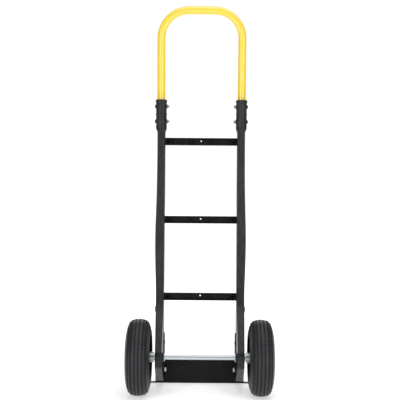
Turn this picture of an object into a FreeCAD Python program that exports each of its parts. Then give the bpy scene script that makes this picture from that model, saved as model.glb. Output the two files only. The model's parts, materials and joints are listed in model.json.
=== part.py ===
import FreeCAD, Part
import math
import os

# Two-wheeled upright hand truck: steel loop handle, moulded side rails, toe plate, air-filled wheels.
# Millimetres. +Z is up, +Y is forward, towards the load, and +X is to the truck's right.
# The origin is on the floor, under the middle of the truck. Left and right are seen from behind.

# Handle
HANDLE_TOP = 1317.5
TUBE_RADIUS = 14.3
TUBE_WALL = 2.0
HANDLE_BEND = 97.0
LEG_FOOT_X = 138.6
LEG_TOP_X = 141.0
LEG_FOOT_Z = 891.5

# Side rails
RAIL_IN_X = 125.2
RAIL_FRONT_Y = 35.0
RAIL_BACK_Y = -25.0
RAIL_BOTTOM_Z = 20.0
RAIL_TOP_Z = 879.0
RAIL_FLANGE = 6.0
RAIL_WEB = 5.0
RAIL_RIB = 3.5
RAIL_BULGE = [(150.9, 879.0), (150.9, 770.0), (152.4, 655.0), (156.4, 510.0), (153.4, 360.0),
              (150.2, 235.0), (146.9, 125.0), (148.6, 70.0), (153.0, 20.0)]
SOCKET_RADIUS = 18.4
SOCKET_FOOT_Z = 893.5
NECK_WIDTH = 38.6
SOCKET_TOP_Z = 991.0
SOCKET_RINGS = [(899.7, 3.6, 19.4), (941.7, 3.6, 19.4), (986.5, 9.0, 19.8)]
RAIL_RIB_HEIGHTS = [84, 114, 184, 232, 288, 340, 393, 446, 499, 548, 604, 657, 710, 763, 816]
SEAT_BOSS_RADIUS = 11.0
SIDE_PAD_Z = 266.0
SIDE_PAD_RADIUS = 9.5
SIDE_PAD_X = 155.6

# Handle bolts
HANDLE_BOLT_Z = [917.0, 968.7]
BOSS_IN_X = 118.8
BOSS_OUT_X = 158.2
BOSS_RADIUS = 7.6
HANDLE_BOLT = 3.0
HANDLE_BOLT_HOLE = 3.2
HANDLE_NUT_ACROSS = 10.0
HANDLE_NUT_HEIGHT = 5.0

# Crossbars
BAR_HEIGHTS = {"upper_crossbar": 848.5, "middle_crossbar": 576.0, "lower_crossbar": 307.5}
BAR_HEIGHT = 25.5
BAR_FRONT_Y = 31.0
BAR_BACK_Y = 13.0
BAR_WALL = 3.0
BAR_RIBS_X = [35.0, 106.0]
BAR_HOLE_RADIUS = 2.5
BAR_HOLE_RISE = 2.8
BAR_SCREW_Y = 21.0
BAR_SCREW_RISE = 5.5
BAR_SCREW_RADIUS = 2.5
BAR_POST_RADIUS = 4.4
BAR_SCREW_SEAT = 10.0

# Toe plate and its two brackets
PLATE = 3.2
FLANGE_BACK_Y = 35.0
FLANGE_TOP_Z = 93.0
FLANGE_HALF = 146.0
HEEL_HALF = 177.8
BLADE_HALF = 154.0
BLADE_FRONT_Y = 255.0
HEEL_DEPTH = 18.0
BRACKET_SHEET = 3.0
BRACKET_LEG = 26.0
BRACKET_BACK_Y = -30.0
BRACKET_TOP_Z = 180.0
BRACKET_BOLT_Y = 4.0
LOWER_BOLT_Z = 54.5
UPPER_BOLT_Z = 150.0
RAIL_SEAT_X = 137.0

# Axle and wheels
AXLE_Y = -130.0
AXLE_Z = 125.0
AXLE_RADIUS = 7.94
AXLE_END_X = 239.5
BUSH_RADIUS = 10.0
BUSH_END_X = 152.2
BUSH_FLANGE_RADIUS = 13.5
AXLE_BOSS_IN_X = 117.6
AXLE_BOSS_X = 148.0
AXLE_BOSS_RADIUS = 20.0
AXLE_BOSS_NOSE_RADIUS = 15.0
WHEEL_RADIUS = 125.0
WHEEL_X = 201.0
TUBE_RING = 88.5
TYRE_HALF = 40.0
GROOVES = [6.0, 17.8, 28.0]
GROOVE_DEPTH = 3.4
CROWN = 0.0072
SHOULDER = 4.4e-9
BEAD_SEAT = 50.6
RIM_HALF = 31.4
RIM_SHEET = 2.5
HUB_RADIUS = 17.5
HUB_BORE = 11.5
HUB_FLANGE = 3.0
HUB_FLANGE_RADIUS = 33.5
HUB_IN_X = 155.2
HUB_OUT_X = 227.0
WASHER = 2.6
WASHER_RADIUS = 16.5
BEARING_RADIUS = 15.0
BEARING_WIDTH = 9.0
BALL_RING = 11.45
BALL_RADIUS = 2.2
BALLS = 9
RIM_BOLT_CIRCLE = 25.5
RIM_BOLTS = 4
PIN_X = 234.4
VALVE_ANGLE = 45.0

# Screws and bolts
M8 = 4.0
M8_HOLE = 4.2
M8_ACROSS = 13.0
NUT_HEIGHT = 6.5
HEAD_HEIGHT = 5.3


def vec(x, y, z):
    return FreeCAD.Vector(x, y, z)


def box(low, high):
    return Part.makeBox(high[0] - low[0], high[1] - low[1], high[2] - low[2], vec(*low))


def rod(start, end, radius):
    """A round bar between two points."""
    along = vec(*end) - vec(*start)
    return Part.makeCylinder(radius, along.Length, vec(*start), along)


def hexagon(start, end, across):
    """A six-sided bar between two points, such as a nut or a bolt head."""
    along = vec(*end) - vec(*start)
    radius = across / math.sqrt(3)
    corners = [vec(radius * math.cos(math.radians(60 * i)), radius * math.sin(math.radians(60 * i)), 0)
               for i in range(7)]
    bar = Part.Face(Part.makePolygon(corners)).extrude(vec(0, 0, along.Length))
    bar.Placement = FreeCAD.Placement(vec(*start), FreeCAD.Rotation(vec(0, 0, 1), along))
    return bar


def rounded_edges(corners, place, closed=True):
    """Edges through flat corners (a, b, radius), each corner rounded by its own radius."""
    flat = [vec(a, b, 0) for a, b, radius in corners]
    last = len(corners) - 1
    spans = []
    for i, (a, b, radius) in enumerate(corners):
        at_end = not closed and i in (0, last)
        if radius == 0 or at_end:
            spans.append([flat[i]])
            continue
        back = (flat[i - 1] - flat[i]).normalize()
        ahead = (flat[(i + 1) % len(flat)] - flat[i]).normalize()
        half = back.getAngle(ahead) / 2
        reach = radius / math.tan(half)
        inward = (back + ahead).normalize()
        middle = flat[i] + inward * (radius / math.sin(half) - radius)
        spans.append([flat[i] + back * reach, middle, flat[i] + ahead * reach])
    edges = []
    for i, span in enumerate(spans):
        solid_points = [place(p.x, p.y) for p in span]
        if len(span) == 3:
            edges.append(Part.Arc(*solid_points).toShape())
        if closed or i < last:
            following = spans[(i + 1) % len(spans)][0]
            end = place(following.x, following.y)
            if solid_points[-1].distanceToPoint(end) > 1e-6:
                edges.append(Part.makeLine(solid_points[-1], end))
    return edges


def rounded_face(corners, place):
    return Part.Face(Part.Wire(rounded_edges(corners, place)))


def side_view(x):
    """Flat corners read as (y, z), in the plane at x."""
    return lambda a, b: vec(x, a, b)


def rear_view(y):
    """Flat corners read as (x, z), in the plane at y."""
    return lambda a, b: vec(a, y, b)


def turned(profile, x=WHEEL_X):
    """A ring about the axle, from a section of (distance from x, radius, corner radius)."""
    face = rounded_face(profile, lambda a, b: vec(x + a, AXLE_Y, AXLE_Z + b))
    return face.revolve(vec(x, AXLE_Y, AXLE_Z), vec(1, 0, 0), 360)


def ring(x_low, x_high, inner, outer):
    """A plain washer or sleeve about the axle."""
    whole = rod((x_low, AXLE_Y, AXLE_Z), (x_high, AXLE_Y, AXLE_Z), outer)
    return whole.cut(rod((x_low - 1, AXLE_Y, AXLE_Z), (x_high + 1, AXLE_Y, AXLE_Z), inner))


def fused(shapes):
    whole = shapes[0]
    for shape in shapes[1:]:
        whole = whole.fuse(shape)
    return whole.removeSplitter()


def minus(shape, tools):
    for tool in tools:
        shape = shape.cut(tool)
    return shape


def other_side(shape):
    return shape.mirror(vec(0, 0, 0), vec(1, 0, 0))


def save(name, solids):
    shape = solids[0] if len(solids) == 1 else Part.makeCompound(solids)
    shape.exportStep("parts/" + name + ".step")


def save_pair(name, solids):
    """One node each for the truck's left and right, built on the right."""
    save("right_" + name, solids)
    save("left_" + name, [other_side(s) for s in solids])


def both_sides(solids):
    return solids + [other_side(s) for s in solids]


# Side rail: one moulding with a web on its inner side, flanges front and back, ribs and a handle socket

def rail_corners():
    """The rail seen from the side: a straight post whose foot sweeps back to the axle."""
    return [(RAIL_FRONT_Y, RAIL_BOTTOM_Z, 10), (RAIL_FRONT_Y, RAIL_TOP_Z, 0), (RAIL_BACK_Y, RAIL_TOP_Z, 0),
            (RAIL_BACK_Y, 300, 130), (AXLE_Y - 34, AXLE_Z + 11, 26), (AXLE_Y - 20, AXLE_Z - 32, 26),
            (RAIL_BACK_Y + 8, RAIL_BOTTOM_Z, 30)]


def rail_blank():
    side = rounded_face(rail_corners(), side_view(RAIL_IN_X)).extrude(vec(50, 0, 0))
    outer = Part.BSplineCurve()
    outer.interpolate([vec(x, -200, z) for x, z in RAIL_BULGE])
    top_in = vec(RAIL_IN_X, -200, RAIL_TOP_Z)
    foot_in = vec(RAIL_IN_X, -200, RAIL_BOTTOM_Z)
    edges = [outer.toShape(), Part.makeLine(outer.EndPoint, foot_in), Part.makeLine(foot_in, top_in),
             Part.makeLine(top_in, outer.StartPoint)]
    rear = Part.Face(Part.Wire(edges)).extrude(vec(0, 300, 0))
    blank = side.common(rear)
    long_edges = [e for e in blank.Edges if e.BoundBox.XLength < 8 and e.BoundBox.ZMin < RAIL_TOP_Z - 1]
    return blank.makeFillet(3.0, long_edges)


def rail_pockets():
    """The hollows on the rail's outer side, between its flanges and ribs."""
    outline = Part.Wire(rounded_edges(rail_corners(), side_view(RAIL_IN_X + RAIL_WEB)))
    inset = Part.Face(Part.Face(outline).makeOffset2D(-RAIL_FLANGE).Wires[0])
    hollow = inset.extrude(vec(40, 0, 0))
    ribs = [box((RAIL_IN_X, -200, z - RAIL_RIB / 2), (180, 60, z + RAIL_RIB / 2)) for z in RAIL_RIB_HEIGHTS]
    post = box((RAIL_IN_X, RAIL_BACK_Y, 0), (180, RAIL_BACK_Y + RAIL_RIB, 262))
    return minus(hollow, ribs + [post])


def rail_bosses():
    seats = [(BRACKET_BOLT_Y, LOWER_BOLT_Z), (BRACKET_BOLT_Y, UPPER_BOLT_Z)]
    bosses = [rod((RAIL_IN_X, y, z), (RAIL_SEAT_X, y, z), SEAT_BOSS_RADIUS) for y, z in seats]
    for height in BAR_HEIGHTS.values():
        block = box((RAIL_IN_X, BAR_SCREW_Y - 6, height - 12),
                    (RAIL_IN_X + BAR_SCREW_SEAT, BAR_SCREW_Y + 6, height + 12))
        bosses.append(block)
    bosses.append(rod((RAIL_IN_X, 0, SIDE_PAD_Z), (SIDE_PAD_X, 0, SIDE_PAD_Z), SIDE_PAD_RADIUS))
    bosses.append(rod((AXLE_BOSS_IN_X, AXLE_Y, AXLE_Z), (RAIL_IN_X + 2, AXLE_Y, AXLE_Z), AXLE_BOSS_NOSE_RADIUS))
    bosses.append(rod((RAIL_IN_X, AXLE_Y, AXLE_Z), (AXLE_BOSS_X, AXLE_Y, AXLE_Z), AXLE_BOSS_RADIUS))
    return bosses


def section_wire(x, y, z, width, depth, radius):
    """A level rounded rectangle with its middle at (x, y, z)."""
    corners = [(x - width / 2, y - depth / 2, radius), (x + width / 2, y - depth / 2, radius),
               (x + width / 2, y + depth / 2, radius), (x - width / 2, y + depth / 2, radius)]
    return Part.Wire(rounded_edges(corners, lambda a, b: vec(a, b, z)))


def leg_x(z):
    """The middle of a handle leg at this height: the legs lean out a little."""
    corner_z = HANDLE_TOP - TUBE_RADIUS
    return LEG_FOOT_X + (LEG_TOP_X - LEG_FOOT_X) * (z - LEG_FOOT_Z) / (corner_z - LEG_FOOT_Z)


def on_leg(z):
    return (leg_x(z), 0, z)


def rail_socket():
    width = RAIL_BULGE[0][0] - RAIL_IN_X
    depth = RAIL_FRONT_Y - RAIL_BACK_Y
    middle_y = (RAIL_FRONT_Y + RAIL_BACK_Y) / 2
    neck = Part.makeLoft([section_wire(RAIL_IN_X + width / 2, middle_y, RAIL_TOP_Z, width, depth, 3.0),
                          section_wire(leg_x(SOCKET_FOOT_Z), 0, SOCKET_FOOT_Z, NECK_WIDTH, NECK_WIDTH, 18.0)],
                         True)
    parts = [neck, rod(on_leg(SOCKET_FOOT_Z - 0.5), on_leg(SOCKET_TOP_Z), SOCKET_RADIUS)]
    for z, height, radius in SOCKET_RINGS:
        parts.append(rod(on_leg(z - height / 2), on_leg(z + height / 2), radius))
    for z in HANDLE_BOLT_Z:
        parts.append(rod((BOSS_IN_X, 0, z), (BOSS_OUT_X, 0, z), BOSS_RADIUS))
    return fused(parts)


def side_rail():
    body = rail_blank().cut(rail_pockets())
    body = fused([body] + rail_bosses() + [rail_socket()])
    holes = [rod(on_leg(LEG_FOOT_Z - 1), on_leg(SOCKET_TOP_Z + 5), TUBE_RADIUS + 0.05)]
    for z in HANDLE_BOLT_Z:
        holes.append(rod((100, 0, z), (180, 0, z), HANDLE_BOLT_HOLE))
    for height in BAR_HEIGHTS.values():
        for rise in (-BAR_SCREW_RISE, BAR_SCREW_RISE):
            holes.append(rod((100, BAR_SCREW_Y, height + rise), (150, BAR_SCREW_Y, height + rise),
                             BAR_SCREW_RADIUS + 0.2))
    for z in (LOWER_BOLT_Z, UPPER_BOLT_Z):
        holes.append(rod((100, BRACKET_BOLT_Y, z), (180, BRACKET_BOLT_Y, z), M8_HOLE))
    holes.append(rod((100, 0, SIDE_PAD_Z), (180, 0, SIDE_PAD_Z), M8_HOLE))
    holes.append(rod((100, AXLE_Y, AXLE_Z), (180, AXLE_Y, AXLE_Z), BUSH_RADIUS + 0.05))
    return minus(body, holes)


# Crossbars: channels open to the rear, with upright ribs, a middle hole and screw posts at each end

def crossbar(height):
    low = height - BAR_HEIGHT / 2
    high = height + BAR_HEIGHT / 2
    bar = box((-RAIL_IN_X, BAR_BACK_Y, low), (RAIL_IN_X, BAR_FRONT_Y, high))
    long_edges = [e for e in bar.Edges if e.BoundBox.XLength > 100 and e.BoundBox.YMin > BAR_FRONT_Y - 1]
    bar = bar.makeFillet(2.5, long_edges)
    inside = box((-RAIL_IN_X + 5, BAR_BACK_Y - 1, low + BAR_WALL),
                 (RAIL_IN_X - 5, BAR_FRONT_Y - BAR_WALL, high - BAR_WALL))
    ribs = [box((x - 1.5, BAR_BACK_Y + 1.5, low), (x + 1.5, BAR_FRONT_Y, high)) for x in BAR_RIBS_X]
    posts = [rod((BAR_RIBS_X[1], BAR_SCREW_Y, height + rise), (RAIL_IN_X, BAR_SCREW_Y, height + rise),
                 BAR_POST_RADIUS)
             for rise in (-BAR_SCREW_RISE, BAR_SCREW_RISE)]
    bar = bar.cut(minus(inside, both_sides(ribs + posts)))
    hole_z = height + BAR_HOLE_RISE
    holes = [rod((0, 0, hole_z), (0, 40, hole_z), BAR_HOLE_RADIUS)]
    for rise in (-BAR_SCREW_RISE, BAR_SCREW_RISE):
        holes += both_sides([rod((RAIL_IN_X - 17, BAR_SCREW_Y, height + rise),
                                 (RAIL_IN_X + 5, BAR_SCREW_Y, height + rise), BAR_SCREW_RADIUS + 0.05)])
    return minus(bar, holes)


def crossbar_screws():
    screws = []
    seat = RAIL_IN_X + BAR_SCREW_SEAT
    for height in BAR_HEIGHTS.values():
        for rise in (-BAR_SCREW_RISE, BAR_SCREW_RISE):
            z = height + rise
            head = rod((seat, BAR_SCREW_Y, z), (seat + 3.4, BAR_SCREW_Y, z), 4.6)
            shank = rod((RAIL_IN_X - 16, BAR_SCREW_Y, z), (seat + 1, BAR_SCREW_Y, z), BAR_SCREW_RADIUS)
            drive = hexagon((seat + 1.4, BAR_SCREW_Y, z), (seat + 5, BAR_SCREW_Y, z), 3.0)
            screws.append(head.fuse(shank).cut(drive))
    return both_sides(screws)


# Handle: one bent tube, open at both feet, held by two bolts in each socket

def handle_path():
    corner_z = HANDLE_TOP - TUBE_RADIUS
    corners = [(-LEG_FOOT_X, LEG_FOOT_Z, 0), (-LEG_TOP_X, corner_z, HANDLE_BEND),
               (LEG_TOP_X, corner_z, HANDLE_BEND), (LEG_FOOT_X, LEG_FOOT_Z, 0)]
    return Part.Wire(rounded_edges(corners, rear_view(0), closed=False))


def swept(path, radius):
    lean = vec(LEG_FOOT_X - LEG_TOP_X, 0, HANDLE_TOP - TUBE_RADIUS - LEG_FOOT_Z)
    start = Part.Wire(Part.makeCircle(radius, vec(-LEG_FOOT_X, 0, LEG_FOOT_Z), lean))
    return path.makePipeShell([start], True, True)


def handle_loop():
    path = handle_path()
    tube = swept(path, TUBE_RADIUS).cut(swept(path, TUBE_RADIUS - TUBE_WALL))
    holes = [rod((-180, 0, z), (180, 0, z), HANDLE_BOLT_HOLE) for z in HANDLE_BOLT_Z]
    return minus(tube, holes)


def domed_head(x, y, z, way, height, radius):
    """A low round head that stands on the plane at x and points along X, way +1 or -1."""
    curve = (radius * radius + height * height) / (2 * height)
    ball = Part.makeSphere(curve, vec(x + way * (height - curve), y, z))
    block = rod((x, y, z), (x + way * (height + 1), y, z), radius)
    return ball.common(block)


def handle_bolts():
    bolts = []
    tip = BOSS_IN_X - HANDLE_NUT_HEIGHT
    for z in HANDLE_BOLT_Z:
        head = domed_head(BOSS_OUT_X, 0, z, 1, 3.4, 6.4)
        shank = rod((tip - 1.4, 0, z), (BOSS_OUT_X + 1, 0, z), HANDLE_BOLT)
        point = Part.makeCone(HANDLE_BOLT, HANDLE_BOLT - 1, 1.2, vec(tip - 1.4, 0, z), vec(-1, 0, 0))
        bolts.append(fused([head, shank, point]))
    return both_sides(bolts)


def nut(start, end, across, bore_radius):
    along = (vec(*end) - vec(*start)).normalize()
    bore = rod(vec(*start) - along, vec(*end) + along, bore_radius + 0.05)
    return hexagon(start, end, across).cut(bore)


def handle_nuts():
    foot = BOSS_IN_X - HANDLE_NUT_HEIGHT
    return both_sides([nut((foot, 0, z), (BOSS_IN_X, 0, z), HANDLE_NUT_ACROSS, HANDLE_BOLT)
                       for z in HANDLE_BOLT_Z])


# Toe plate: one bent steel sheet, with an upright flange and a blade on the floor

def toe_plate():
    heel_y = FLANGE_BACK_Y
    section = [(heel_y, 0, 7), (BLADE_FRONT_Y, 0, 0), (BLADE_FRONT_Y, 1.4, 0), (BLADE_FRONT_Y - 12, PLATE, 0),
               (heel_y + PLATE, PLATE, 4), (heel_y + PLATE, FLANGE_TOP_Z, 0), (heel_y, FLANGE_TOP_Z, 0)]
    bent = rounded_face(section, side_view(-HEEL_HALF)).extrude(vec(2 * HEEL_HALF, 0, 0))
    front = [(-HEEL_HALF, -1, 0), (HEEL_HALF, -1, 0), (HEEL_HALF, 4.6, 0), (FLANGE_HALF, 4.6, 16),
             (FLANGE_HALF, FLANGE_TOP_Z, 10), (-FLANGE_HALF, FLANGE_TOP_Z, 10), (-FLANGE_HALF, 4.6, 16),
             (-HEEL_HALF, 4.6, 0)]
    heel_front = heel_y + HEEL_DEPTH
    plan = [(-HEEL_HALF, 0, 0), (HEEL_HALF, 0, 0), (HEEL_HALF, heel_front, 5), (BLADE_HALF, heel_front, 12),
            (BLADE_HALF - 6, BLADE_FRONT_Y, 26), (-BLADE_HALF + 6, BLADE_FRONT_Y, 26),
            (-BLADE_HALF, heel_front, 12), (-HEEL_HALF, heel_front, 5)]
    front_block = rounded_face(front, rear_view(0)).extrude(vec(0, 300, 0))
    plan_block = rounded_face(plan, lambda a, b: vec(a, b, -5)).extrude(vec(0, 0, 200))
    return bent.common(front_block).common(plan_block)


def toe_bracket():
    """Steel angle: one leg on the rail's inner face, one leg welded to the back of the flange."""
    ear = [(FLANGE_BACK_Y, RAIL_BOTTOM_Z + 2, 2), (FLANGE_BACK_Y, BRACKET_TOP_Z, 8),
           (BRACKET_BACK_Y + 22, BRACKET_TOP_Z, 14), (BRACKET_BACK_Y, RAIL_BOTTOM_Z + 30, 30),
           (BRACKET_BACK_Y + 8, RAIL_BOTTOM_Z + 2, 10)]
    ear_plate = rounded_face(ear, side_view(RAIL_IN_X - BRACKET_SHEET)).extrude(vec(BRACKET_SHEET, 0, 0))
    leg = [(RAIL_IN_X - BRACKET_LEG, RAIL_BOTTOM_Z + 2, 6), (RAIL_IN_X, RAIL_BOTTOM_Z + 2, 0),
           (RAIL_IN_X, FLANGE_TOP_Z - 4, 0), (RAIL_IN_X - BRACKET_LEG, FLANGE_TOP_Z - 4, 10)]
    leg_plate = rounded_face(leg, rear_view(FLANGE_BACK_Y - BRACKET_SHEET)).extrude(vec(0, BRACKET_SHEET, 0))
    holes = [rod((100, BRACKET_BOLT_Y, z), (130, BRACKET_BOLT_Y, z), M8_HOLE)
             for z in (LOWER_BOLT_Z, UPPER_BOLT_Z)]
    return minus(fused([ear_plate, leg_plate]), holes)


def toe_plate_bolts():
    """Lower pair: hexagon heads outside, nuts inside."""
    y, z = BRACKET_BOLT_Y, LOWER_BOLT_Z
    inner = RAIL_IN_X - BRACKET_SHEET
    collar = rod((RAIL_SEAT_X, y, z), (RAIL_SEAT_X + 1.2, y, z), 8.2)
    head = hexagon((RAIL_SEAT_X, y, z), (RAIL_SEAT_X + HEAD_HEIGHT, y, z), M8_ACROSS)
    shank = rod((inner - NUT_HEIGHT - 1.2, y, z), (RAIL_SEAT_X + 1, y, z), M8)
    return both_sides([fused([collar, head, shank])])


def toe_plate_nuts():
    y, z = BRACKET_BOLT_Y, LOWER_BOLT_Z
    inner = RAIL_IN_X - BRACKET_SHEET
    return both_sides([nut((inner - NUT_HEIGHT, y, z), (inner, y, z), M8_ACROSS, M8)])


def bracket_bolts():
    """Upper pair: low domed heads inside, nuts outside."""
    y, z = BRACKET_BOLT_Y, UPPER_BOLT_Z
    inner = RAIL_IN_X - BRACKET_SHEET
    dome = domed_head(inner, y, z, -1, 2.2, 9.0)
    shank = rod((inner - 1, y, z), (RAIL_SEAT_X + NUT_HEIGHT + 2.5, y, z), M8)
    return both_sides([fused([dome, shank])])


def bracket_nuts():
    y, z = BRACKET_BOLT_Y, UPPER_BOLT_Z
    return both_sides([nut((RAIL_SEAT_X, y, z), (RAIL_SEAT_X + NUT_HEIGHT, y, z), M8_ACROSS, M8)])


# Axle, its bushes, washers and split pins

def axle():
    bar = rod((-AXLE_END_X, AXLE_Y, AXLE_Z), (AXLE_END_X, AXLE_Y, AXLE_Z), AXLE_RADIUS)
    ends = [e for e in bar.Edges if e.BoundBox.XLength < 1]
    bar = bar.makeChamfer(1.0, ends)
    holes = both_sides([rod((PIN_X, AXLE_Y, AXLE_Z - 20), (PIN_X, AXLE_Y, AXLE_Z + 20), 1.7)])
    return minus(bar, holes)


def axle_bushes():
    flange = ring(AXLE_BOSS_IN_X - 2.4, AXLE_BOSS_IN_X, AXLE_RADIUS + 0.05, BUSH_FLANGE_RADIUS)
    sleeve = ring(AXLE_BOSS_IN_X - 1, BUSH_END_X, AXLE_RADIUS + 0.05, BUSH_RADIUS)
    return both_sides([fused([flange, sleeve])])


def inner_washers():
    return both_sides([ring(BUSH_END_X, BUSH_END_X + WASHER, AXLE_RADIUS + 0.2, WASHER_RADIUS)])


def outer_washers():
    start = HUB_OUT_X + 0.4
    return both_sides([ring(start, start + WASHER, AXLE_RADIUS + 0.2, WASHER_RADIUS)])


def split_pins():
    """A pin through each axle end, with a round eye on top and its two tips bent apart below."""
    top = AXLE_Z + AXLE_RADIUS + 1
    foot = AXLE_Z - AXLE_RADIUS - 3
    shank = rod((PIN_X, AXLE_Y, foot), (PIN_X, AXLE_Y, top), 1.5)
    eye = Part.makeTorus(2.6, 1.2, vec(PIN_X, AXLE_Y, top + 3), vec(0, 1, 0))
    tips = []
    for way in (-1, 1):
        tips.append(rod((PIN_X, AXLE_Y, foot + 0.8), (PIN_X, AXLE_Y + 7 * way, foot - 4), 0.9))
    return both_sides([fused([shank, eye] + tips)])


# Wheel, built at the right: tyre, inner tube, two rim halves, hub, ball bearings, bolts, valve

def tread_radius(u):
    """The tread falls away gently from its middle and faster at its shoulders."""
    return WHEEL_RADIUS - CROWN * u ** 2 - SHOULDER * u ** 6


def tyre():
    """Ribbed tyre, hollow inside, with two beads on the rim."""
    outside = [(u, tread_radius(u)) for u in (0, 10, 18, 24, 28.5, 31.5)]
    outside += [(34.2, 106.5), (36.6, 99.5), (38.6, 92), (TYRE_HALF, 83), (38.4, 73.5), (34, 65.5),
                (28.6, 60.2)]
    inside = [(22, 57), (29.5, 67.5), (33.7, 78), (34.3, 86), (32.8, 96), (29.5, 105.5), (25, 112.5),
              (17, 116.4), (0, 117.5)]
    mirrored_out = [(-u, r) for u, r in reversed(outside[1:])]
    mirrored_in = [(-u, r) for u, r in reversed(inside[:-1])]
    outer_line = through(mirrored_out + outside)
    inner_line = through(inside + mirrored_in)
    right_foot = [(28.6, 60.2), (28.6, BEAD_SEAT + 3), (25.6, BEAD_SEAT), (21, BEAD_SEAT), (22, 57)]
    left_foot = [(-u, r) for u, r in reversed(right_foot)]
    edges = [outer_line] + flat_lines(right_foot) + [inner_line] + flat_lines(left_foot)
    body = Part.Face(Part.Wire(edges)).revolve(vec(WHEEL_X, AXLE_Y, AXLE_Z), vec(1, 0, 0), 360)
    grooves = []
    for u in GROOVES:
        bed = tread_radius(u) - GROOVE_DEPTH
        for a in (-u, u):
            grooves.append(turned([(a - 0.9, bed, 0), (a + 0.9, bed, 0), (a + 2.1, WHEEL_RADIUS + 5, 0),
                                   (a - 2.1, WHEEL_RADIUS + 5, 0)]))
    return minus(body, grooves)


def in_wheel(u, r):
    return vec(WHEEL_X + u, AXLE_Y, AXLE_Z + r)


def through(points):
    curve = Part.BSplineCurve()
    curve.interpolate([in_wheel(u, r) for u, r in points])
    return curve.toShape()


def flat_lines(points):
    return [Part.makeLine(in_wheel(*a), in_wheel(*b)) for a, b in zip(points, points[1:])]


def oval_ring(across, tall):
    """A ring of oval section inside the tyre."""
    oval = Part.Ellipse(in_wheel(across, TUBE_RING), in_wheel(0, TUBE_RING + tall), in_wheel(0, TUBE_RING))
    face = Part.Face(Part.Wire(oval.toShape()))
    return face.revolve(vec(WHEEL_X, AXLE_Y, AXLE_Z), vec(1, 0, 0), 360)


def inner_tube():
    return oval_ring(29.0, 26.8).cut(oval_ring(27.0, 24.8))


def rim_half(side):
    """A pressed steel dish: a flat middle, a seat for the tyre's bead and a rolled edge."""
    corners = [(0, HUB_RADIUS + 0.05, 0), (0, 50.4, 3), (28.8, 50.4, 2), (28.8, 58, 1.0), (RIM_HALF, 58.6, 1.2),
               (RIM_HALF, 47.9, 4), (RIM_SHEET, 47.9, 5), (RIM_SHEET, HUB_RADIUS + 0.05, 0)]
    half = turned([(side * a, b, radius) for a, b, radius in corners])
    holes = [rod((WHEEL_X - 10, y, z), (WHEEL_X + 10, y, z), M8_HOLE) for y, z in bolt_spots()]
    if side > 0:
        holes.append(rod(valve_point(64), valve_point(20), 4.9))
    return minus(half, holes)


def bolt_spots():
    spots = []
    for i in range(RIM_BOLTS):
        angle = math.radians(360 * i / RIM_BOLTS)
        spots.append((AXLE_Y + RIM_BOLT_CIRCLE * math.cos(angle), AXLE_Z + RIM_BOLT_CIRCLE * math.sin(angle)))
    return spots


def hub():
    """Steel hub tube with a bearing seat in each end and a flange that the rim bolts clamp."""
    shell = ring(HUB_IN_X, HUB_OUT_X, HUB_BORE, HUB_RADIUS)
    flange = ring(WHEEL_X - RIM_SHEET - HUB_FLANGE, WHEEL_X - RIM_SHEET, HUB_BORE, HUB_FLANGE_RADIUS)
    seats = [ring(HUB_IN_X - 1, HUB_IN_X + BEARING_WIDTH + 0.5, 0.5, BEARING_RADIUS + 0.02),
             ring(HUB_OUT_X - BEARING_WIDTH - 0.5, HUB_OUT_X + 1, 0.5, BEARING_RADIUS + 0.02)]
    holes = [rod((WHEEL_X - 10, y, z), (WHEEL_X + 10, y, z), M8_HOLE) for y, z in bolt_spots()]
    return minus(fused([shell, flange]), seats + holes)


def bearing(x_low):
    """A ball bearing: two rings with a groove each, and the balls between them."""
    x_high = x_low + BEARING_WIDTH
    middle = vec((x_low + x_high) / 2, AXLE_Y, AXLE_Z)
    groove = Part.makeTorus(BALL_RING, BALL_RADIUS + 0.1, middle, vec(1, 0, 0))
    inner = ring(x_low, x_high, AXLE_RADIUS + 0.05, 10.2).cut(groove)
    outer = ring(x_low, x_high, 12.7, BEARING_RADIUS).cut(groove)
    balls = []
    for i in range(BALLS):
        angle = math.radians(360 * i / BALLS)
        spot = middle + vec(0, BALL_RING * math.cos(angle), BALL_RING * math.sin(angle))
        balls.append(Part.makeSphere(BALL_RADIUS, spot))
    return [inner, outer] + balls


def wheel_bearings():
    return bearing(HUB_IN_X + 0.3) + bearing(HUB_OUT_X - BEARING_WIDTH - 0.3)


def rim_bolts():
    seat = WHEEL_X + RIM_SHEET
    back = WHEEL_X - RIM_SHEET - HUB_FLANGE - NUT_HEIGHT - 1.5
    bolts = []
    for y, z in bolt_spots():
        bolts.append(hexagon((seat, y, z), (seat + HEAD_HEIGHT, y, z), M8_ACROSS).fuse(
            rod((back, y, z), (seat + 1, y, z), M8)))
    return bolts


def rim_nuts():
    seat = WHEEL_X - RIM_SHEET - HUB_FLANGE
    return [nut((seat - NUT_HEIGHT, y, z), (seat, y, z), M8_ACROSS, M8) for y, z in bolt_spots()]


def valve_point(distance):
    """A point on the valve's line, which leans out of the wheel as it nears the hub."""
    lean = 11 + (62 - distance) * 0.42
    angle = math.radians(VALVE_ANGLE)
    return (WHEEL_X + lean, AXLE_Y + distance * math.cos(angle), AXLE_Z + distance * math.sin(angle))


def valve_stem():
    body = rod(valve_point(60.5), valve_point(41), 4.4)
    neck = rod(valve_point(42), valve_point(33), 2.6)
    return fused([body, neck])


def valve_cap():
    cap = rod(valve_point(40), valve_point(29), 3.9)
    return cap.cut(rod(valve_point(41), valve_point(32.6), 2.7))


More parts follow.
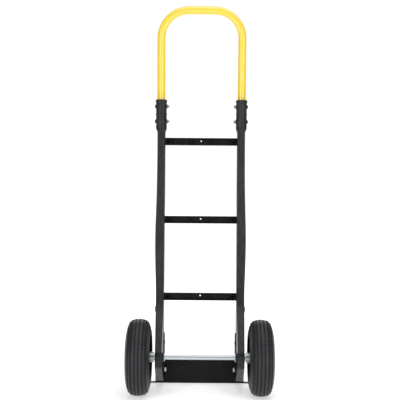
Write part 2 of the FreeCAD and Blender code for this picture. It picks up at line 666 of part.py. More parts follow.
save_pair("side_rail", [side_rail()])
for bar_name, bar_height in BAR_HEIGHTS.items():
    save(bar_name, [crossbar(bar_height)])
save("crossbar_screws", crossbar_screws())
save("handle_loop", [handle_loop()])
save("handle_bolts", handle_bolts())
save("handle_nuts", handle_nuts())
save("toe_plate", [toe_plate()])
save_pair("toe_bracket", [toe_bracket()])
save("toe_plate_bolts", toe_plate_bolts())
save("toe_plate_nuts", toe_plate_nuts())
save("bracket_bolts", bracket_bolts())
save("bracket_nuts", bracket_nuts())
save("axle", [axle()])
save("axle_bushes", axle_bushes())
save("inner_washers", inner_washers())
save("outer_washers", outer_washers())
save("split_pins", split_pins())
save_pair("tyre", [tyre()])
save_pair("inner_tube", [inner_tube()])
save_pair("rim_inner_half", [rim_half(-1)])
save_pair("rim_outer_half", [rim_half(1)])
save_pair("hub", [hub()])
save_pair("wheel_bearings", wheel_bearings())
save_pair("rim_bolts", rim_bolts())
save_pair("rim_nuts", rim_nuts())
save_pair("valve_stem", [valve_stem()])
save_pair("valve_cap", [valve_cap()])
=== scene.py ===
import json
import math

import bpy
from mathutils import Matrix, Vector


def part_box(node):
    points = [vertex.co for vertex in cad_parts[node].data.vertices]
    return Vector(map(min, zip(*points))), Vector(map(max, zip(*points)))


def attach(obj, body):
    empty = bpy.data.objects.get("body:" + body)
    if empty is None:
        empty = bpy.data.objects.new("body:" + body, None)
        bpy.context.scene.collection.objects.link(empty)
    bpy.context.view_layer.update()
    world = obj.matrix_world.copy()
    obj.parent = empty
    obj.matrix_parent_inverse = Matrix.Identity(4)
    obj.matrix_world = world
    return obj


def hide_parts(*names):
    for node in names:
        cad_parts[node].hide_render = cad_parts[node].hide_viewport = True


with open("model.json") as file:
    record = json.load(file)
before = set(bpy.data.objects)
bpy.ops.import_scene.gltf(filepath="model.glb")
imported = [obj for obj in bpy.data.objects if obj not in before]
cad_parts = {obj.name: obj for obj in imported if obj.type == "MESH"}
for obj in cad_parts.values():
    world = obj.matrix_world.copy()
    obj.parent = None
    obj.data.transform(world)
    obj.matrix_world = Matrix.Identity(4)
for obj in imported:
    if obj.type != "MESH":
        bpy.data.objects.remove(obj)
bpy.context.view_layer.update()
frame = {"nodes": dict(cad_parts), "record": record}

# Hand truck: looks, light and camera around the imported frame. Metres, +Z up, +Y forward, -Y is the rear.

NODES = frame["nodes"]
SLOTS = {part["node"]: part["material_slot"] for part in frame["record"]["subparts"]}
SIDES = {"left": -1, "right": 1}
MM = 0.001

# Camera, level and straight behind the truck, rolled by a fraction of a degree
CAMERA_PLACE = (-0.0028, -2.7, 0.645)
CAMERA_ROLL = 0.42
CAMERA_LENS, CAMERA_SENSOR = 70.0, 36

# Studio: a dim room, a white world behind, and a floor that glows with distance
WORLD_LIGHT, WORLD_SEEN = 0.26, 1.05
NEAR, NEAR_GLOW = 0.8, 0.48
FAR, FAR_GLOW = 4.0, 1.0
FLOOR_RADIUS, FLOOR_SIDES = 60, 72

# Lamps: place, width, height and watts, all aimed at the truck's middle
AIM = (0, 0, 0.7)
LAMPS = {
    "left_strip": ((-1.75, -2.9, 1.1), 0.3, 2.6, 40),
    "right_strip": ((1.75, -2.9, 1.1), 0.3, 2.6, 40),
    "overhead": ((0.3, -0.4, 3.4), 3.0, 3.0, 55),
    "front_fill": ((0.0, 3.6, 2.0), 2.4, 1.6, 30),
}

# Places, from the frame
TYRE_LOW, TYRE_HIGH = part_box("right_tyre")
TYRE_RADIUS = (TYRE_HIGH.z - TYRE_LOW.z) / 2
WHEEL_X = (TYRE_LOW.x + TYRE_HIGH.x) / 2
AXLE_Y = (TYRE_LOW.y + TYRE_HIGH.y) / 2
AXLE_Z = (TYRE_LOW.z + TYRE_HIGH.z) / 2
PLATE_LOW, PLATE_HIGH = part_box("toe_plate")
BRACKET_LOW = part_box("right_toe_bracket")[0]
SOCKET_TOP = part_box("right_side_rail")[1].z

# Tyre section, in millimetres across from its middle and out from the axle
CROWN, SHOULDER = 0.0072, 4.4e-9                  # how fast the tread falls away, by across ** 2 and ** 6
GROOVES, GROOVE_DEPTH = (6.0, 17.8, 28.0), 3.4    # across, each side of the middle
GROOVE_LIP, GROOVE_EDGE, GROOVE_FOOT, GROOVE_BED = 3.4, 2.1, 1.0, 0.6    # half widths, from top to bottom
TREAD_WAVES, TREAD_WAVE, STEPS_PER_WAVE = 54, 0.5, 6
RIM_GUARD = (66.5, 2.2, 0.9)                      # distance out, half width and height of a raised ring
SIDE_RINGS = ((77.5, 1.2, 0.4), (101.0, 1.2, 0.4))

# Fasteners: across is the width over a hexagon's flats, and a dome is a low round head
M8_RADIUS, M8_PITCH = 4.0 * MM, 1.25 * MM
M6_RADIUS, M6_PITCH = 3.0 * MM, 1.0 * MM
M8_ACROSS, M6_ACROSS = 13 * MM, 10 * MM
M8_HEAD, M8_COLLAR, COLLAR_RADIUS = 5.3 * MM, 1.2 * MM, 8.2 * MM
HANDLE_DOME, HANDLE_DOME_HEIGHT = 6.4 * MM, 3.4 * MM
BRACKET_DOME, BRACKET_DOME_HEIGHT = 9.0 * MM, 2.2 * MM
NUT_CLEARANCE, NUT_LEAD = 0.05 * MM, 0.4 * MM
CORNER_FACE, CORNER_SLOPE = 0.475, 1.73           # turned-off corners: face radius by across, and slope
AROUND = 60                                       # points round a fastener

# Welds down the inner edge of each toe bracket, each a share of the spacing long
WELDS, WELD_SHARE = 3, 0.55
WELD_RADIUS, WELD_GAP = 2.2 * MM, 0.4 * MM
WELD_SCALES, SCALE_RISE = 12, 0.12


class Nodes:
    """One material's node tree, with a short call for each kind of node used here."""

    def __init__(self, name):
        self.material = bpy.data.materials.new(name)
        self.material.use_nodes = True
        self.tree = self.material.node_tree
        self.tree.nodes.clear()
        self.shader = self.tree.nodes.new("ShaderNodeBsdfPrincipled")
        output = self.tree.nodes.new("ShaderNodeOutputMaterial")
        self.join(self.shader.outputs["BSDF"], output.inputs["Surface"])
        self.place = self.tree.nodes.new("ShaderNodeTexCoord").outputs["Object"]

    def join(self, source, target):
        self.tree.links.new(source, target)

    def feed(self, socket, value):
        """Puts a number, colour or another node's output into a socket."""
        if isinstance(value, bpy.types.NodeSocket):
            self.join(value, socket)
        else:
            socket.default_value = value

    def scaled(self, factors, moved=(0, 0, 0)):
        """Object coordinates, stretched along the axes."""
        node = self.tree.nodes.new("ShaderNodeMapping")
        self.join(self.place, node.inputs["Vector"])
        node.inputs["Location"].default_value = moved
        node.inputs["Scale"].default_value = factors
        return node.outputs["Vector"]

    def noise(self, scale, detail=3.0, rough=0.55, factors=(1, 1, 1), moved=(0, 0, 0)):
        node = self.tree.nodes.new("ShaderNodeTexNoise")
        self.join(self.scaled(factors, moved), node.inputs["Vector"])
        node.inputs["Scale"].default_value = scale
        node.inputs["Detail"].default_value = detail
        node.inputs["Roughness"].default_value = rough
        return node.outputs["Fac"]

    def cells(self, scale):
        """Distance from the nearest of many scattered points."""
        node = self.tree.nodes.new("ShaderNodeTexVoronoi")
        self.join(self.scaled((1, 1, 1)), node.inputs["Vector"])
        node.inputs["Scale"].default_value = scale
        return node.outputs["Distance"]

    def ramp(self, value, low, high, start=0.0, end=1.0):
        """start below low, end above high, and even steps between them."""
        node = self.tree.nodes.new("ShaderNodeMapRange")
        self.join(value, node.inputs["Value"])
        node.inputs["From Min"].default_value = low
        node.inputs["From Max"].default_value = high
        node.inputs["To Min"].default_value = start
        node.inputs["To Max"].default_value = end
        return node.outputs["Result"]

    def maths(self, operation, a, b):
        node = self.tree.nodes.new("ShaderNodeMath")
        node.operation = operation
        self.feed(node.inputs[0], a)
        self.feed(node.inputs[1], b)
        return node.outputs["Value"]

    def blend(self, share, a, b):
        """Colour a where share is 0, colour b where it is 1."""
        node = self.tree.nodes.new("ShaderNodeMix")
        node.data_type = "RGBA"
        self.feed(node.inputs["Factor"], share)
        self.feed(node.inputs["A"], (*a, 1) if isinstance(a, tuple) else a)
        self.feed(node.inputs["B"], (*b, 1) if isinstance(b, tuple) else b)
        return node.outputs["Result"]

    def along(self, axis):
        """The object coordinate along one axis, in metres."""
        node = self.tree.nodes.new("ShaderNodeSeparateXYZ")
        self.join(self.place, node.inputs["Vector"])
        return node.outputs[axis]

    def from_axle(self):
        """Distance from the line of the axle, in metres."""
        node = self.tree.nodes.new("ShaderNodeCombineXYZ")
        self.join(self.maths("SUBTRACT", self.along("Y"), AXLE_Y), node.inputs["Y"])
        self.join(self.maths("SUBTRACT", self.along("Z"), AXLE_Z), node.inputs["Z"])
        length = self.tree.nodes.new("ShaderNodeVectorMath")
        length.operation = "LENGTH"
        self.join(node.outputs["Vector"], length.inputs[0])
        return length.outputs["Value"]

    def bump(self, height, distance, strength, over=None):
        """A surface normal with height added, on top of the normal given as over."""
        node = self.tree.nodes.new("ShaderNodeBump")
        self.join(height, node.inputs["Height"])
        node.inputs["Distance"].default_value = distance
        node.inputs["Strength"].default_value = strength
        if over is not None:
            self.join(over, node.inputs["Normal"])
        return node.outputs["Normal"]

    def surface(self, colour, roughness, normal=None, metallic=0.0, coat=0.0, coat_rough=0.1, specular=0.5):
        inputs = self.shader.inputs
        self.feed(inputs["Base Color"], (*colour, 1) if isinstance(colour, tuple) else colour)
        self.feed(inputs["Roughness"], roughness)
        self.feed(inputs["Metallic"], metallic)
        inputs["Coat Weight"].default_value = coat
        inputs["Coat Roughness"].default_value = coat_rough
        inputs["Specular IOR Level"].default_value = specular
        if normal is not None:
            self.join(normal, inputs["Normal"])
        return self.material


# Materials

def moulded_nylon(name, dark, light, fleck, rough, specular):
    """Glass-filled nylon: moulded grain, mottled colour, pale flecks, scuffs, and dust near the floor."""
    n = Nodes(name)
    flow = n.noise(48, 7, 0.74, (1, 1, 0.4))
    colour = n.blend(n.ramp(flow, 0.38, 0.64), dark, light)
    flecks = n.ramp(n.noise(1500, 2, 0.5, (1, 1, 0.45)), 0.62, 0.72, 0, 0.55)
    colour = n.blend(flecks, colour, fleck)
    scratches = n.maths("MULTIPLY", n.ramp(n.noise(60, 5, 0.7, (6, 6, 0.5), (3, 1, 2)), 0.66, 0.72, 0, 0.4),
                        n.ramp(n.noise(9, 2), 0.5, 0.6))
    colour = n.blend(scratches, colour, fleck)
    low_dust = n.maths("MULTIPLY", n.ramp(n.along("Z"), 0.22, 0.0),
                       n.ramp(n.noise(75, 5, 0.65), 0.42, 0.7, 0, 0.5))
    colour = n.blend(low_dust, colour, tuple(1.35 * c for c in fleck))
    roughness = n.ramp(n.noise(120, 4, 0.6), 0.3, 0.7, rough - 0.07, rough + 0.1)
    grain = n.bump(n.noise(1300, 3, 0.6), 0.00022, 0.55)
    normal = n.bump(n.noise(55, 2, 0.5), 0.0009, 0.22, grain)
    return n.surface(colour, roughness, normal, specular=specular)


def yellow_powder_coat():
    """Bright yellow powder coat: orange peel, tiny chips, scuffs and grime above the sockets."""
    n = Nodes("yellow_paint")
    colour = n.blend(n.ramp(n.noise(9, 3), 0.3, 0.7), (0.76, 0.525, 0.043), (0.79, 0.550, 0.048))
    grime_reach = n.ramp(n.along("Z"), SOCKET_TOP + 0.035, SOCKET_TOP, 0, 1)
    grime = n.maths("MULTIPLY", grime_reach, n.ramp(n.noise(160, 5, 0.7), 0.35, 0.75, 0.1, 0.75))
    colour = n.blend(grime, colour, (0.30, 0.20, 0.03))
    scuffs = n.ramp(n.noise(42, 6, 0.72, (4, 4, 0.6), (1, 2, 3)), 0.70, 0.75, 0, 0.4)
    colour = n.blend(scuffs, colour, (0.55, 0.36, 0.04))
    chips = n.maths("MULTIPLY", n.ramp(n.cells(95), 0.10, 0.07),
                    n.ramp(n.noise(11, 2, 0.5, moved=(5, 0, 1)), 0.6, 0.66))
    colour = n.blend(chips, colour, (0.10, 0.095, 0.09))
    roughness = n.maths("ADD", n.ramp(n.noise(70, 4), 0.3, 0.7, 0.16, 0.26), n.maths("MULTIPLY", scuffs, 0.4))
    peel = n.bump(n.noise(420, 2, 0.45), 0.00020, 0.16)
    normal = n.bump(n.maths("SUBTRACT", 1.0, chips), 0.0003, 0.8, peel)
    return n.surface(colour, roughness, normal, coat=0.9, coat_rough=0.05)


def black_powder_coat():
    """Satin black powder coat: fine texture, drag scratches along the blade and a rubbed front edge."""
    n = Nodes("black_paint")
    colour = n.blend(n.ramp(n.noise(25, 4), 0.3, 0.7), (0.0035, 0.0037, 0.0046), (0.0062, 0.0066, 0.0080))
    on_blade = n.ramp(n.along("Z"), 0.012, 0.004)
    drags = n.maths("MULTIPLY", n.ramp(n.noise(55, 6, 0.75, (7, 0.35, 1)), 0.62, 0.69, 0, 0.6), on_blade)
    colour = n.blend(drags, colour, (0.085, 0.086, 0.09))
    edge = n.maths("MULTIPLY", n.ramp(n.along("Y"), PLATE_HIGH.y - 0.012, PLATE_HIGH.y - 0.001),
                   n.ramp(n.noise(130, 5, 0.7), 0.36, 0.58))
    colour = n.blend(edge, colour, (0.42, 0.42, 0.43))
    metallic = n.maths("MULTIPLY", edge, 0.9)
    roughness = n.maths("ADD", n.ramp(n.noise(90, 4), 0.3, 0.7, 0.36, 0.50), n.maths("MULTIPLY", drags, 0.25))
    normal = n.bump(n.noise(800, 3, 0.55), 0.00022, 0.5)
    return n.surface(colour, roughness, normal, metallic, specular=0.16)


def black_oxide():
    """Black oxide on steel: nearly black metal with faint brown patches."""
    n = Nodes("black_bolts")
    colour = n.blend(n.ramp(n.noise(260, 4), 0.4, 0.7), (0.022, 0.022, 0.024), (0.050, 0.042, 0.036))
    roughness = n.ramp(n.noise(400, 4), 0.3, 0.7, 0.34, 0.52)
    return n.surface(colour, roughness, n.bump(n.noise(1500, 3), 0.0001, 0.5), metallic=0.7)


def zinc_plate(name, lines=(1, 1, 1), bright=(0.62, 0.66, 0.67), dull=(0.46, 0.50, 0.50)):
    """Bright zinc plate: cloudy passivation and a few dull spots, drawn out by lines along an axis."""
    n = Nodes(name)
    colour = n.blend(n.ramp(n.noise(55, 5, 0.65, lines), 0.35, 0.7), bright, dull)
    spots = n.ramp(n.noise(240, 4, 0.7, lines, (2, 2, 2)), 0.68, 0.78, 0, 0.4)
    colour = n.blend(spots, colour, (0.30, 0.29, 0.27))
    roughness = n.maths("ADD", n.ramp(n.noise(140, 4, 0.55, lines), 0.3, 0.7, 0.26, 0.36),
                        n.maths("MULTIPLY", spots, 0.3))
    normal = n.bump(n.noise(900, 3, 0.6, lines), 0.00001, 0.15)
    return n.surface(colour, roughness, normal, metallic=1.0)


def tyre_rubber():
    """Black rubber: fine skin, a paler worn crown on the tread and faint bloom on the sidewalls."""
    n = Nodes("tyre_rubber")
    distance = n.from_axle()
    colour = n.blend(n.ramp(n.noise(38, 5, 0.6), 0.35, 0.68),
                     (0.0078, 0.0080, 0.0102), (0.0130, 0.0133, 0.0162))
    bloom = n.maths("MULTIPLY", n.ramp(distance, 0.108, 0.082),
                    n.ramp(n.noise(65, 5, 0.65), 0.42, 0.7, 0, 0.55))
    colour = n.blend(bloom, colour, (0.034, 0.033, 0.034))
    worn = n.maths("MULTIPLY", n.ramp(distance, TYRE_RADIUS - 0.0042, TYRE_RADIUS - 0.0008),
                   n.ramp(n.noise(170, 5, 0.7), 0.36, 0.7, 0.10, 0.7))
    colour = n.blend(worn, colour, (0.032, 0.032, 0.034))
    roughness = n.ramp(n.noise(210, 4), 0.3, 0.7, 0.44, 0.60)
    skin = n.bump(n.noise(950, 4, 0.65), 0.00028, 0.6)
    normal = n.bump(n.noise(110, 3), 0.0006, 0.25, skin)
    return n.surface(colour, roughness, normal, specular=0.38)


def soft_black(name, colour, rough, grain):
    """Plain black rubber or plastic with a fine skin and a little dust."""
    n = Nodes(name)
    dusty = n.ramp(n.noise(120, 5, 0.65), 0.45, 0.72, 0, 0.5)
    shade = n.blend(dusty, colour, tuple(2.6 * c for c in colour))
    roughness = n.ramp(n.noise(300, 3), 0.3, 0.7, rough - 0.07, rough + 0.08)
    return n.surface(shade, roughness, n.bump(n.noise(grain, 3), 0.0002, 0.5), specular=0.4)


def rim_enamel():
    """Gloss black enamel on pressed steel: slight ripple, grey dust toward the bead and stone chips."""
    n = Nodes("rim_paint")
    distance = n.from_axle()
    colour = n.blend(n.ramp(n.noise(45, 4), 0.3, 0.7), (0.012, 0.012, 0.014), (0.022, 0.022, 0.025))
    dust = n.maths("MULTIPLY", n.ramp(distance, 0.036, 0.050),
                   n.ramp(n.noise(150, 5, 0.7), 0.4, 0.7, 0.05, 0.55))
    colour = n.blend(dust, colour, (0.10, 0.093, 0.085))
    chips = n.maths("MULTIPLY", n.ramp(n.cells(210), 0.13, 0.09), n.ramp(n.noise(30, 2), 0.56, 0.64))
    colour = n.blend(chips, colour, (0.16, 0.155, 0.15))
    roughness = n.maths("ADD", n.ramp(n.noise(110, 4), 0.3, 0.7, 0.20, 0.32), n.maths("MULTIPLY", dust, 0.5))
    normal = n.bump(n.noise(190, 2), 0.0003, 0.3)
    return n.surface(colour, roughness, normal, coat=0.5, coat_rough=0.06)


def bearing_steel():
    """Ground steel with a fine grain and a film of grease."""
    n = Nodes("bearing_steel")
    film = n.ramp(n.noise(240, 4), 0.45, 0.7, 0, 0.6)
    colour = n.blend(film, (0.60, 0.61, 0.62), (0.30, 0.27, 0.22))
    roughness = n.ramp(n.noise(500, 3), 0.3, 0.7, 0.16, 0.32)
    return n.surface(colour, roughness, n.bump(n.noise(1600, 2), 0.00006, 0.4), metallic=1.0)


MATERIALS = {
    "rail_nylon": moulded_nylon("rail_nylon", (0.0070, 0.0073, 0.0090), (0.0205, 0.0213, 0.0242),
                                (0.085, 0.085, 0.085), 0.36, 0.27),
    "crossbar_nylon": moulded_nylon("crossbar_nylon", (0.0022, 0.0022, 0.0023), (0.0038, 0.0038, 0.0040),
                                    (0.024, 0.024, 0.024), 0.40, 0.17),
    "yellow_paint": yellow_powder_coat(),
    "black_paint": black_powder_coat(),
    "black_bolts": black_oxide(),
    "zinc": zinc_plate("zinc"),
    "tyre_rubber": tyre_rubber(),
    "tube_rubber": soft_black("tube_rubber", (0.010, 0.010, 0.010), 0.55, 700),
    "rim_paint": rim_enamel(),
    "bearing_steel": bearing_steel(),
    "valve_rubber": soft_black("valve_rubber", (0.013, 0.013, 0.013), 0.6, 1300),
    "cap_plastic": soft_black("cap_plastic", (0.011, 0.011, 0.012), 0.4, 1700),
}
DRAWN_ZINC = zinc_plate("drawn_zinc", (0.02, 1, 1), (0.60, 0.66, 0.67), (0.50, 0.55, 0.56))


def dress_nodes():
    """Every CAD node takes its slot's material; the axle's plate shows the lines it was drawn with."""
    for node, slot in SLOTS.items():
        mesh = NODES[node].data
        mesh.materials.clear()
        mesh.materials.append(DRAWN_ZINC if node == "axle" else MATERIALS[slot])


# Pieces built here

def new_piece(name, points, faces, slot, body, sharp_angle=None):
    """A smooth-shaded piece on a body; edges that turn by more than sharp_angle degrees stay sharp."""
    mesh = bpy.data.meshes.new(name)
    mesh.from_pydata(points, [], faces)
    mesh.materials.append(MATERIALS[slot])
    for polygon in mesh.polygons:
        polygon.use_smooth = True
    mesh.update()
    if sharp_angle is not None:
        mesh.set_sharp_from_angle(angle=math.radians(sharp_angle))
    piece = bpy.data.objects.new(name, mesh)
    bpy.context.scene.collection.objects.link(piece)
    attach(piece, body)
    return piece


def smooth_line(points, steps):
    """A Catmull-Rom line through points, steps points to each stretch."""
    padded = [points[0], *points, points[-1]]
    line = []
    for a, b, c, d in zip(padded, padded[1:], padded[2:], padded[3:]):
        for i in range(steps):
            t = i / steps
            line.append(tuple(0.5 * (2 * q + (r - p) * t + (2 * p - 5 * q + 4 * r - s) * t * t
                                     + (3 * q - p - 3 * r + s) * t ** 3) for p, q, r, s in zip(a, b, c, d)))
    return line + [points[-1]]


def tread_radius(across):
    """The tread falls away gently from its middle and faster at its shoulders."""
    return TYRE_RADIUS / MM - CROWN * across ** 2 - SHOULDER * across ** 6


def tread_half():
    """The tread from its middle outwards: (across, distance, sideways wave), in millimetres."""
    line = [(0, tread_radius(0), 0)]
    for groove in GROOVES:
        bed = tread_radius(groove) - GROOVE_DEPTH
        for way in (-1, 1):
            edge = tread_radius(groove + GROOVE_EDGE * way)
            wall = [(GROOVE_LIP, tread_radius(groove + GROOVE_LIP * way), 0.3), (GROOVE_EDGE, edge, 1),
                    (GROOVE_EDGE - 0.3, edge - 0.4, 1), (GROOVE_FOOT, bed + 0.4, 1), (GROOVE_BED, bed, 0)]
            points = [(groove + way * out, distance, -way * wave * TREAD_WAVE)
                      for out, distance, wave in wall]
            line += points[::-way]
    return line


def ridge(distance, middle, reach, height):
    """How far a ring moulded round the sidewall stands out, at a distance from the axle."""
    return height * max(0.0, 1 - abs(distance - middle) / reach)


def sidewall_half():
    """The sidewall, with two raised rings and a rim guard, down to the bead and back up inside."""
    outer = smooth_line([(32.4, 111.4), (34.2, 106.5), (36.6, 99.5), (38.6, 92), (39.8, 83), (38.3, 73.5),
                         (34, 65.5), (28.9, 60.4)], 6)
    line = []
    for across, distance in outer:
        raised = ridge(distance, *RIM_GUARD) + sum(ridge(distance, *ring) for ring in SIDE_RINGS)
        line.append((across + raised, distance, 0))
    bead = [(28.5, 59.6, 0), (28.5, 53.4, 0), (27.8, 51.8, 0), (26, 50.8, 0), (21, 50.8, 0), (20.6, 52, 0)]
    inner = smooth_line([(22, 57), (29.5, 67.5), (33.7, 78), (34.3, 86), (32.8, 96), (29.5, 105.5),
                         (25, 112.5), (17, 116.4), (0, 117.5)], 3)
    return line + bead + [(across, distance, 0) for across, distance in inner]


def saw(turn):
    """A wave between -1 and 1 that repeats round the tyre."""
    phase = (turn * TREAD_WAVES) % 1.0
    return 4 * abs(phase - 0.5) - 1


def build_tyre(side):
    """Replaces a CAD tyre by one with wavy grooves and raised rings, turned about the axle."""
    half = tread_half() + sidewall_half()
    section = half + [(-across, distance, -wave) for across, distance, wave in reversed(half[1:-1])]
    steps = TREAD_WAVES * STEPS_PER_WAVE
    points, faces = [], []
    for i in range(steps):
        turn = i / steps
        angle = 2 * math.pi * turn
        for across, distance, wave in section:
            x = SIDES[side] * WHEEL_X + (across + wave * saw(turn)) * MM
            y = AXLE_Y + distance * MM * math.cos(angle)
            z = AXLE_Z + distance * MM * math.sin(angle)
            points.append((x, y, z))
    count = len(section)
    for i in range(steps):
        here, ahead = i * count, ((i + 1) % steps) * count
        for j in range(count):
            k = (j + 1) % count
            faces.append((here + j, ahead + j, ahead + k, here + k))
    tyre = new_piece(side + "_ribbed_tyre", points, faces, "tyre_rubber", side + "_wheel", 38)
    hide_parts(side + "_tyre")


def solids_of(node):
    """The low and high corner of each separate solid in a CAD node."""
    mesh = NODES[node].data
    keys = [tuple(round(c, 6) for c in vertex.co) for vertex in mesh.vertices]
    parent = {key: key for key in keys}

    def top(key):
        while parent[key] != key:
            parent[key] = parent[parent[key]]
            key = parent[key]
        return key

    for edge in mesh.edges:
        a, b = (top(keys[i]) for i in edge.vertices)
        parent[a] = b
    groups = {}
    for key in parent:
        groups.setdefault(top(key), []).append(key)
    return [(Vector(map(min, zip(*group))), Vector(map(max, zip(*group)))) for group in groups.values()]


def hex_radius(across, turn):
    """Distance from the middle of a hexagon to its edge."""
    return across / 2 / math.cos((turn + math.pi / 6) % (math.pi / 3) - math.pi / 6)


def spun(rings, spot, way, closed):
    """Points and faces of a shape round an X line; rings are (along, radius, width across flats or 0)."""
    points = []
    for along, radius, across in rings:
        for i in range(AROUND):
            turn = 2 * math.pi * i / AROUND
            reach = min(radius, hex_radius(across, turn)) if across else radius
            y, z = spot.y + reach * math.cos(turn), spot.z + reach * math.sin(turn)
            points.append((spot.x + way * along, y, z))
    count = len(rings)
    faces = []
    for k in range(count if closed else count - 1):
        near, far = k * AROUND, (k + 1) % count * AROUND
        faces += [(near + i, far + i, far + (i + 1) % AROUND, near + (i + 1) % AROUND) for i in range(AROUND)]
    if not closed:
        faces += [tuple(range(AROUND)), tuple(reversed(range((count - 1) * AROUND, count * AROUND)))]
    return points, faces if way < 0 else [face[::-1] for face in faces]


def hex_start(across):
    """The first rings of a nut or bolt head, with its corners turned off."""
    return [(across * rise, CORNER_FACE * across + CORNER_SLOPE * across * rise, across)
            for rise in (0, 0.03, 0.06, 0.09, 0.12, 0.16)]


def hex_head(across, height):
    """A hexagon head, from its outer face to its seat."""
    return hex_start(across) + [(height, across, across)]


def nut_rings(across, height, bore):
    """A hexagon nut, round the outside and back through its bore, which opens out at both ends."""
    start = hex_start(across)
    end = [(height - along, radius, width) for along, radius, width in reversed(start)]
    mouth = bore + NUT_LEAD
    inside = [(height, mouth, 0), (height - NUT_LEAD, bore, 0), (NUT_LEAD, bore, 0), (0, mouth, 0)]
    return start + end + inside


def thread(start, end, radius, pitch):
    """Rings of a threaded shank from start to end."""
    turns = int((end - start) / pitch)
    rings = [(start, radius, 0)]
    for i in range(turns):
        rings += [(start + pitch * (i + 0.5), radius - 0.5 * pitch, 0), (start + pitch * (i + 1), radius, 0)]
    return rings + [(end, radius - 0.5 * pitch, 0)]


def dome_rings(radius, height):
    """A low round head, from its top down to the seat."""
    steps = 10
    return [(height * (1 - math.cos(math.pi / 2 * i / steps)), radius * math.sin(math.pi / 2 * i / steps), 0)
            for i in range(1, steps + 1)]


def body_of(node):
    """The body that a CAD node belongs to, by its name."""
    side = node.split("_")[0]
    return side + "_wheel" if side in SIDES else "frame"


def build_fasteners(node, rings_for, closed, head_way=1):
    """Replaces a CAD node of nuts or bolts by the same ones with turned-off corners and threads.

    head_way is 1 for heads that point away from the truck's middle and -1 for heads that point to it.
    """
    points, faces = [], []
    for low, high in solids_of(node):
        middle = (low + high) / 2
        outward = 1 if middle.x > 0 else -1
        way = -outward * head_way
        start = Vector((low.x if way > 0 else high.x, middle.y, middle.z))
        more_points, more_faces = spun(rings_for(high - low), start, way, closed)
        faces += [tuple(i + len(points) for i in face) for face in more_faces]
        points += more_points
    piece = new_piece(node + "_detailed", points, faces, SLOTS[node], body_of(node), 24)
    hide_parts(node)


def handle_bolt_rings(size):
    head = dome_rings(HANDLE_DOME, HANDLE_DOME_HEIGHT) + [(HANDLE_DOME_HEIGHT, M6_RADIUS, 0)]
    return head + thread(8 * MM, size.x - 1.2 * MM, M6_RADIUS, M6_PITCH) + [(size.x, 2.0 * MM, 0)]


def bracket_bolt_rings(size):
    head = dome_rings(BRACKET_DOME, BRACKET_DOME_HEIGHT) + [(BRACKET_DOME_HEIGHT, M8_RADIUS, 0)]
    return head + thread(5 * MM, size.x, M8_RADIUS, M8_PITCH)


def toe_plate_bolt_rings(size):
    under = M8_HEAD - M8_COLLAR
    collar = [(under, COLLAR_RADIUS, 0), (M8_HEAD, COLLAR_RADIUS, 0), (M8_HEAD, M8_RADIUS, 0)]
    return hex_head(M8_ACROSS, under) + collar + thread(M8_HEAD + 4 * MM, size.x, M8_RADIUS, M8_PITCH)


def rim_bolt_rings(size):
    head = hex_head(M8_ACROSS, M8_HEAD) + [(M8_HEAD, M8_RADIUS, 0)]
    return head + thread(M8_HEAD + 2 * MM, size.x, M8_RADIUS, M8_PITCH)


def m8_nut_rings(size):
    return nut_rings(M8_ACROSS, size.x, M8_RADIUS + NUT_CLEARANCE)


def m6_nut_rings(size):
    return nut_rings(M6_ACROSS, size.x, M6_RADIUS + NUT_CLEARANCE)


def weld_bead(name, start, end):
    """A short fillet weld: a rounded strip with the overlapping scales of its runs."""
    start, end = Vector(start), Vector(end)
    along = (end - start).normalized()
    across = along.orthogonal().normalized()
    other = along.cross(across)
    steps, around = 60, 12
    points = []
    for i in range(steps + 1):
        share = i / steps
        scales = 1 + SCALE_RISE * ((share * WELD_SCALES) % 1.0)
        ends = math.sqrt(max(0.02, 1 - abs(2 * share - 1) ** 6))
        for j in range(around):
            turn = 2 * math.pi * j / around
            spoke = across * math.cos(turn) + other * math.sin(turn)
            points.append(tuple(start.lerp(end, share) + spoke * (WELD_RADIUS * scales * ends)))
    faces = [(i * around + j, i * around + (j + 1) % around, (i + 1) * around + (j + 1) % around,
              (i + 1) * around + j) for i in range(steps) for j in range(around)]
    faces.append(tuple(reversed(range(around))))
    faces.append(tuple(range(steps * around, (steps + 1) * around)))
    new_piece(name, points, faces, "black_paint", "frame")


def build_welds():
    """Stitch welds down the inner edge of each toe bracket, where it meets the flange."""
    low, high = BRACKET_LOW.z + 0.008, PLATE_HIGH.z - 0.016
    spacing = (high - low) / WELDS
    for side, sign in SIDES.items():
        x = sign * (BRACKET_LOW.x - WELD_GAP)
        y = PLATE_LOW.y - WELD_GAP
        for i in range(WELDS):
            z = low + spacing * i
            weld_bead(f"{side}_toe_weld_{i + 1}", (x, y, z), (x, y, z + spacing * WELD_SHARE))


# Light, floor and camera

def sweep_white():
    """White floor that glows more with distance, so that it meets the white world unseen."""
    n = Nodes("floor")
    distance = n.tree.nodes.new("ShaderNodeVectorMath")
    distance.operation = "LENGTH"
    n.join(n.place, distance.inputs[0])
    glow = n.ramp(distance.outputs["Value"], NEAR, FAR, NEAR_GLOW, FAR_GLOW)
    n.join(glow, n.shader.inputs["Emission Strength"])
    n.shader.inputs["Emission Color"].default_value = (1, 1, 1, 1)
    return n.surface((0.84, 0.84, 0.84), 0.9, specular=0.1)


def build_floor():
    mesh = bpy.data.meshes.new("floor")
    turns = [math.radians(360 / FLOOR_SIDES * i) for i in range(FLOOR_SIDES)]
    rim = [(FLOOR_RADIUS * math.cos(t), FLOOR_RADIUS * math.sin(t), 0) for t in turns]
    mesh.from_pydata(rim, [], [tuple(range(FLOOR_SIDES))])
    mesh.materials.append(sweep_white())
    floor = bpy.data.objects.new("floor", mesh)
    bpy.context.scene.collection.objects.link(floor)


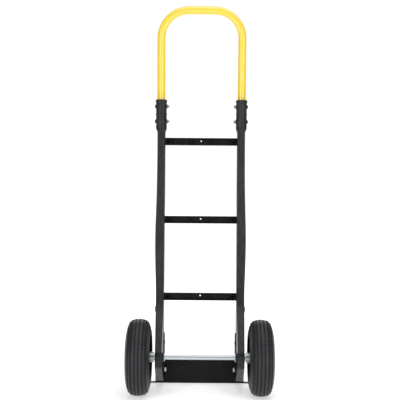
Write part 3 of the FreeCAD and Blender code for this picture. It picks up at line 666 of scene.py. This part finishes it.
def soft_light(name, place, width, height, watts):
    light = bpy.data.lights.new(name, "AREA")
    light.shape = "RECTANGLE"
    light.size, light.size_y = width, height
    light.energy = watts
    lamp = bpy.data.objects.new(name, light)
    lamp.location = place
    lamp.rotation_mode = "QUATERNION"
    lamp.rotation_quaternion = (Vector(AIM) - Vector(place)).to_track_quat("-Z", "Y")
    bpy.context.scene.collection.objects.link(lamp)


def build_world():
    """A world that the camera sees as white, and that lights the truck more dimly."""
    world = bpy.data.worlds.new("studio")
    world.use_nodes = True
    background = world.node_tree.nodes["Background"]
    seen = world.node_tree.nodes.new("ShaderNodeLightPath").outputs["Is Camera Ray"]
    strength = world.node_tree.nodes.new("ShaderNodeMapRange")
    world.node_tree.links.new(seen, strength.inputs["Value"])
    strength.inputs["To Min"].default_value = WORLD_LIGHT
    strength.inputs["To Max"].default_value = WORLD_SEEN
    world.node_tree.links.new(strength.outputs["Result"], background.inputs["Strength"])
    background.inputs["Color"].default_value = (1, 1, 1, 1)
    bpy.context.scene.world = world


def build_camera():
    data = bpy.data.cameras.new("camera")
    data.lens = CAMERA_LENS
    data.sensor_width = CAMERA_SENSOR
    camera = bpy.data.objects.new("camera", data)
    level = Matrix.Rotation(math.radians(90), 4, "X")
    roll = Matrix.Rotation(math.radians(CAMERA_ROLL), 4, "Z")
    camera.matrix_world = Matrix.Translation(CAMERA_PLACE) @ level @ roll
    bpy.context.scene.collection.objects.link(camera)
    bpy.context.scene.camera = camera


build_camera()
bpy.context.scene.view_settings.view_transform = "Standard"
build_floor()
build_world()
for lamp_name, settings in LAMPS.items():
    soft_light(lamp_name, *settings)
dress_nodes()
for wheel_side in SIDES:
    build_tyre(wheel_side)
build_welds()
build_fasteners("handle_bolts", handle_bolt_rings, False)
build_fasteners("handle_nuts", m6_nut_rings, True)
build_fasteners("toe_plate_bolts", toe_plate_bolt_rings, False)
build_fasteners("toe_plate_nuts", m8_nut_rings, True)
build_fasteners("bracket_bolts", bracket_bolt_rings, False, -1)
build_fasteners("bracket_nuts", m8_nut_rings, True)
for wheel_side in SIDES:
    build_fasteners(wheel_side + "_rim_bolts", rim_bolt_rings, False)
    build_fasteners(wheel_side + "_rim_nuts", m8_nut_rings, True)
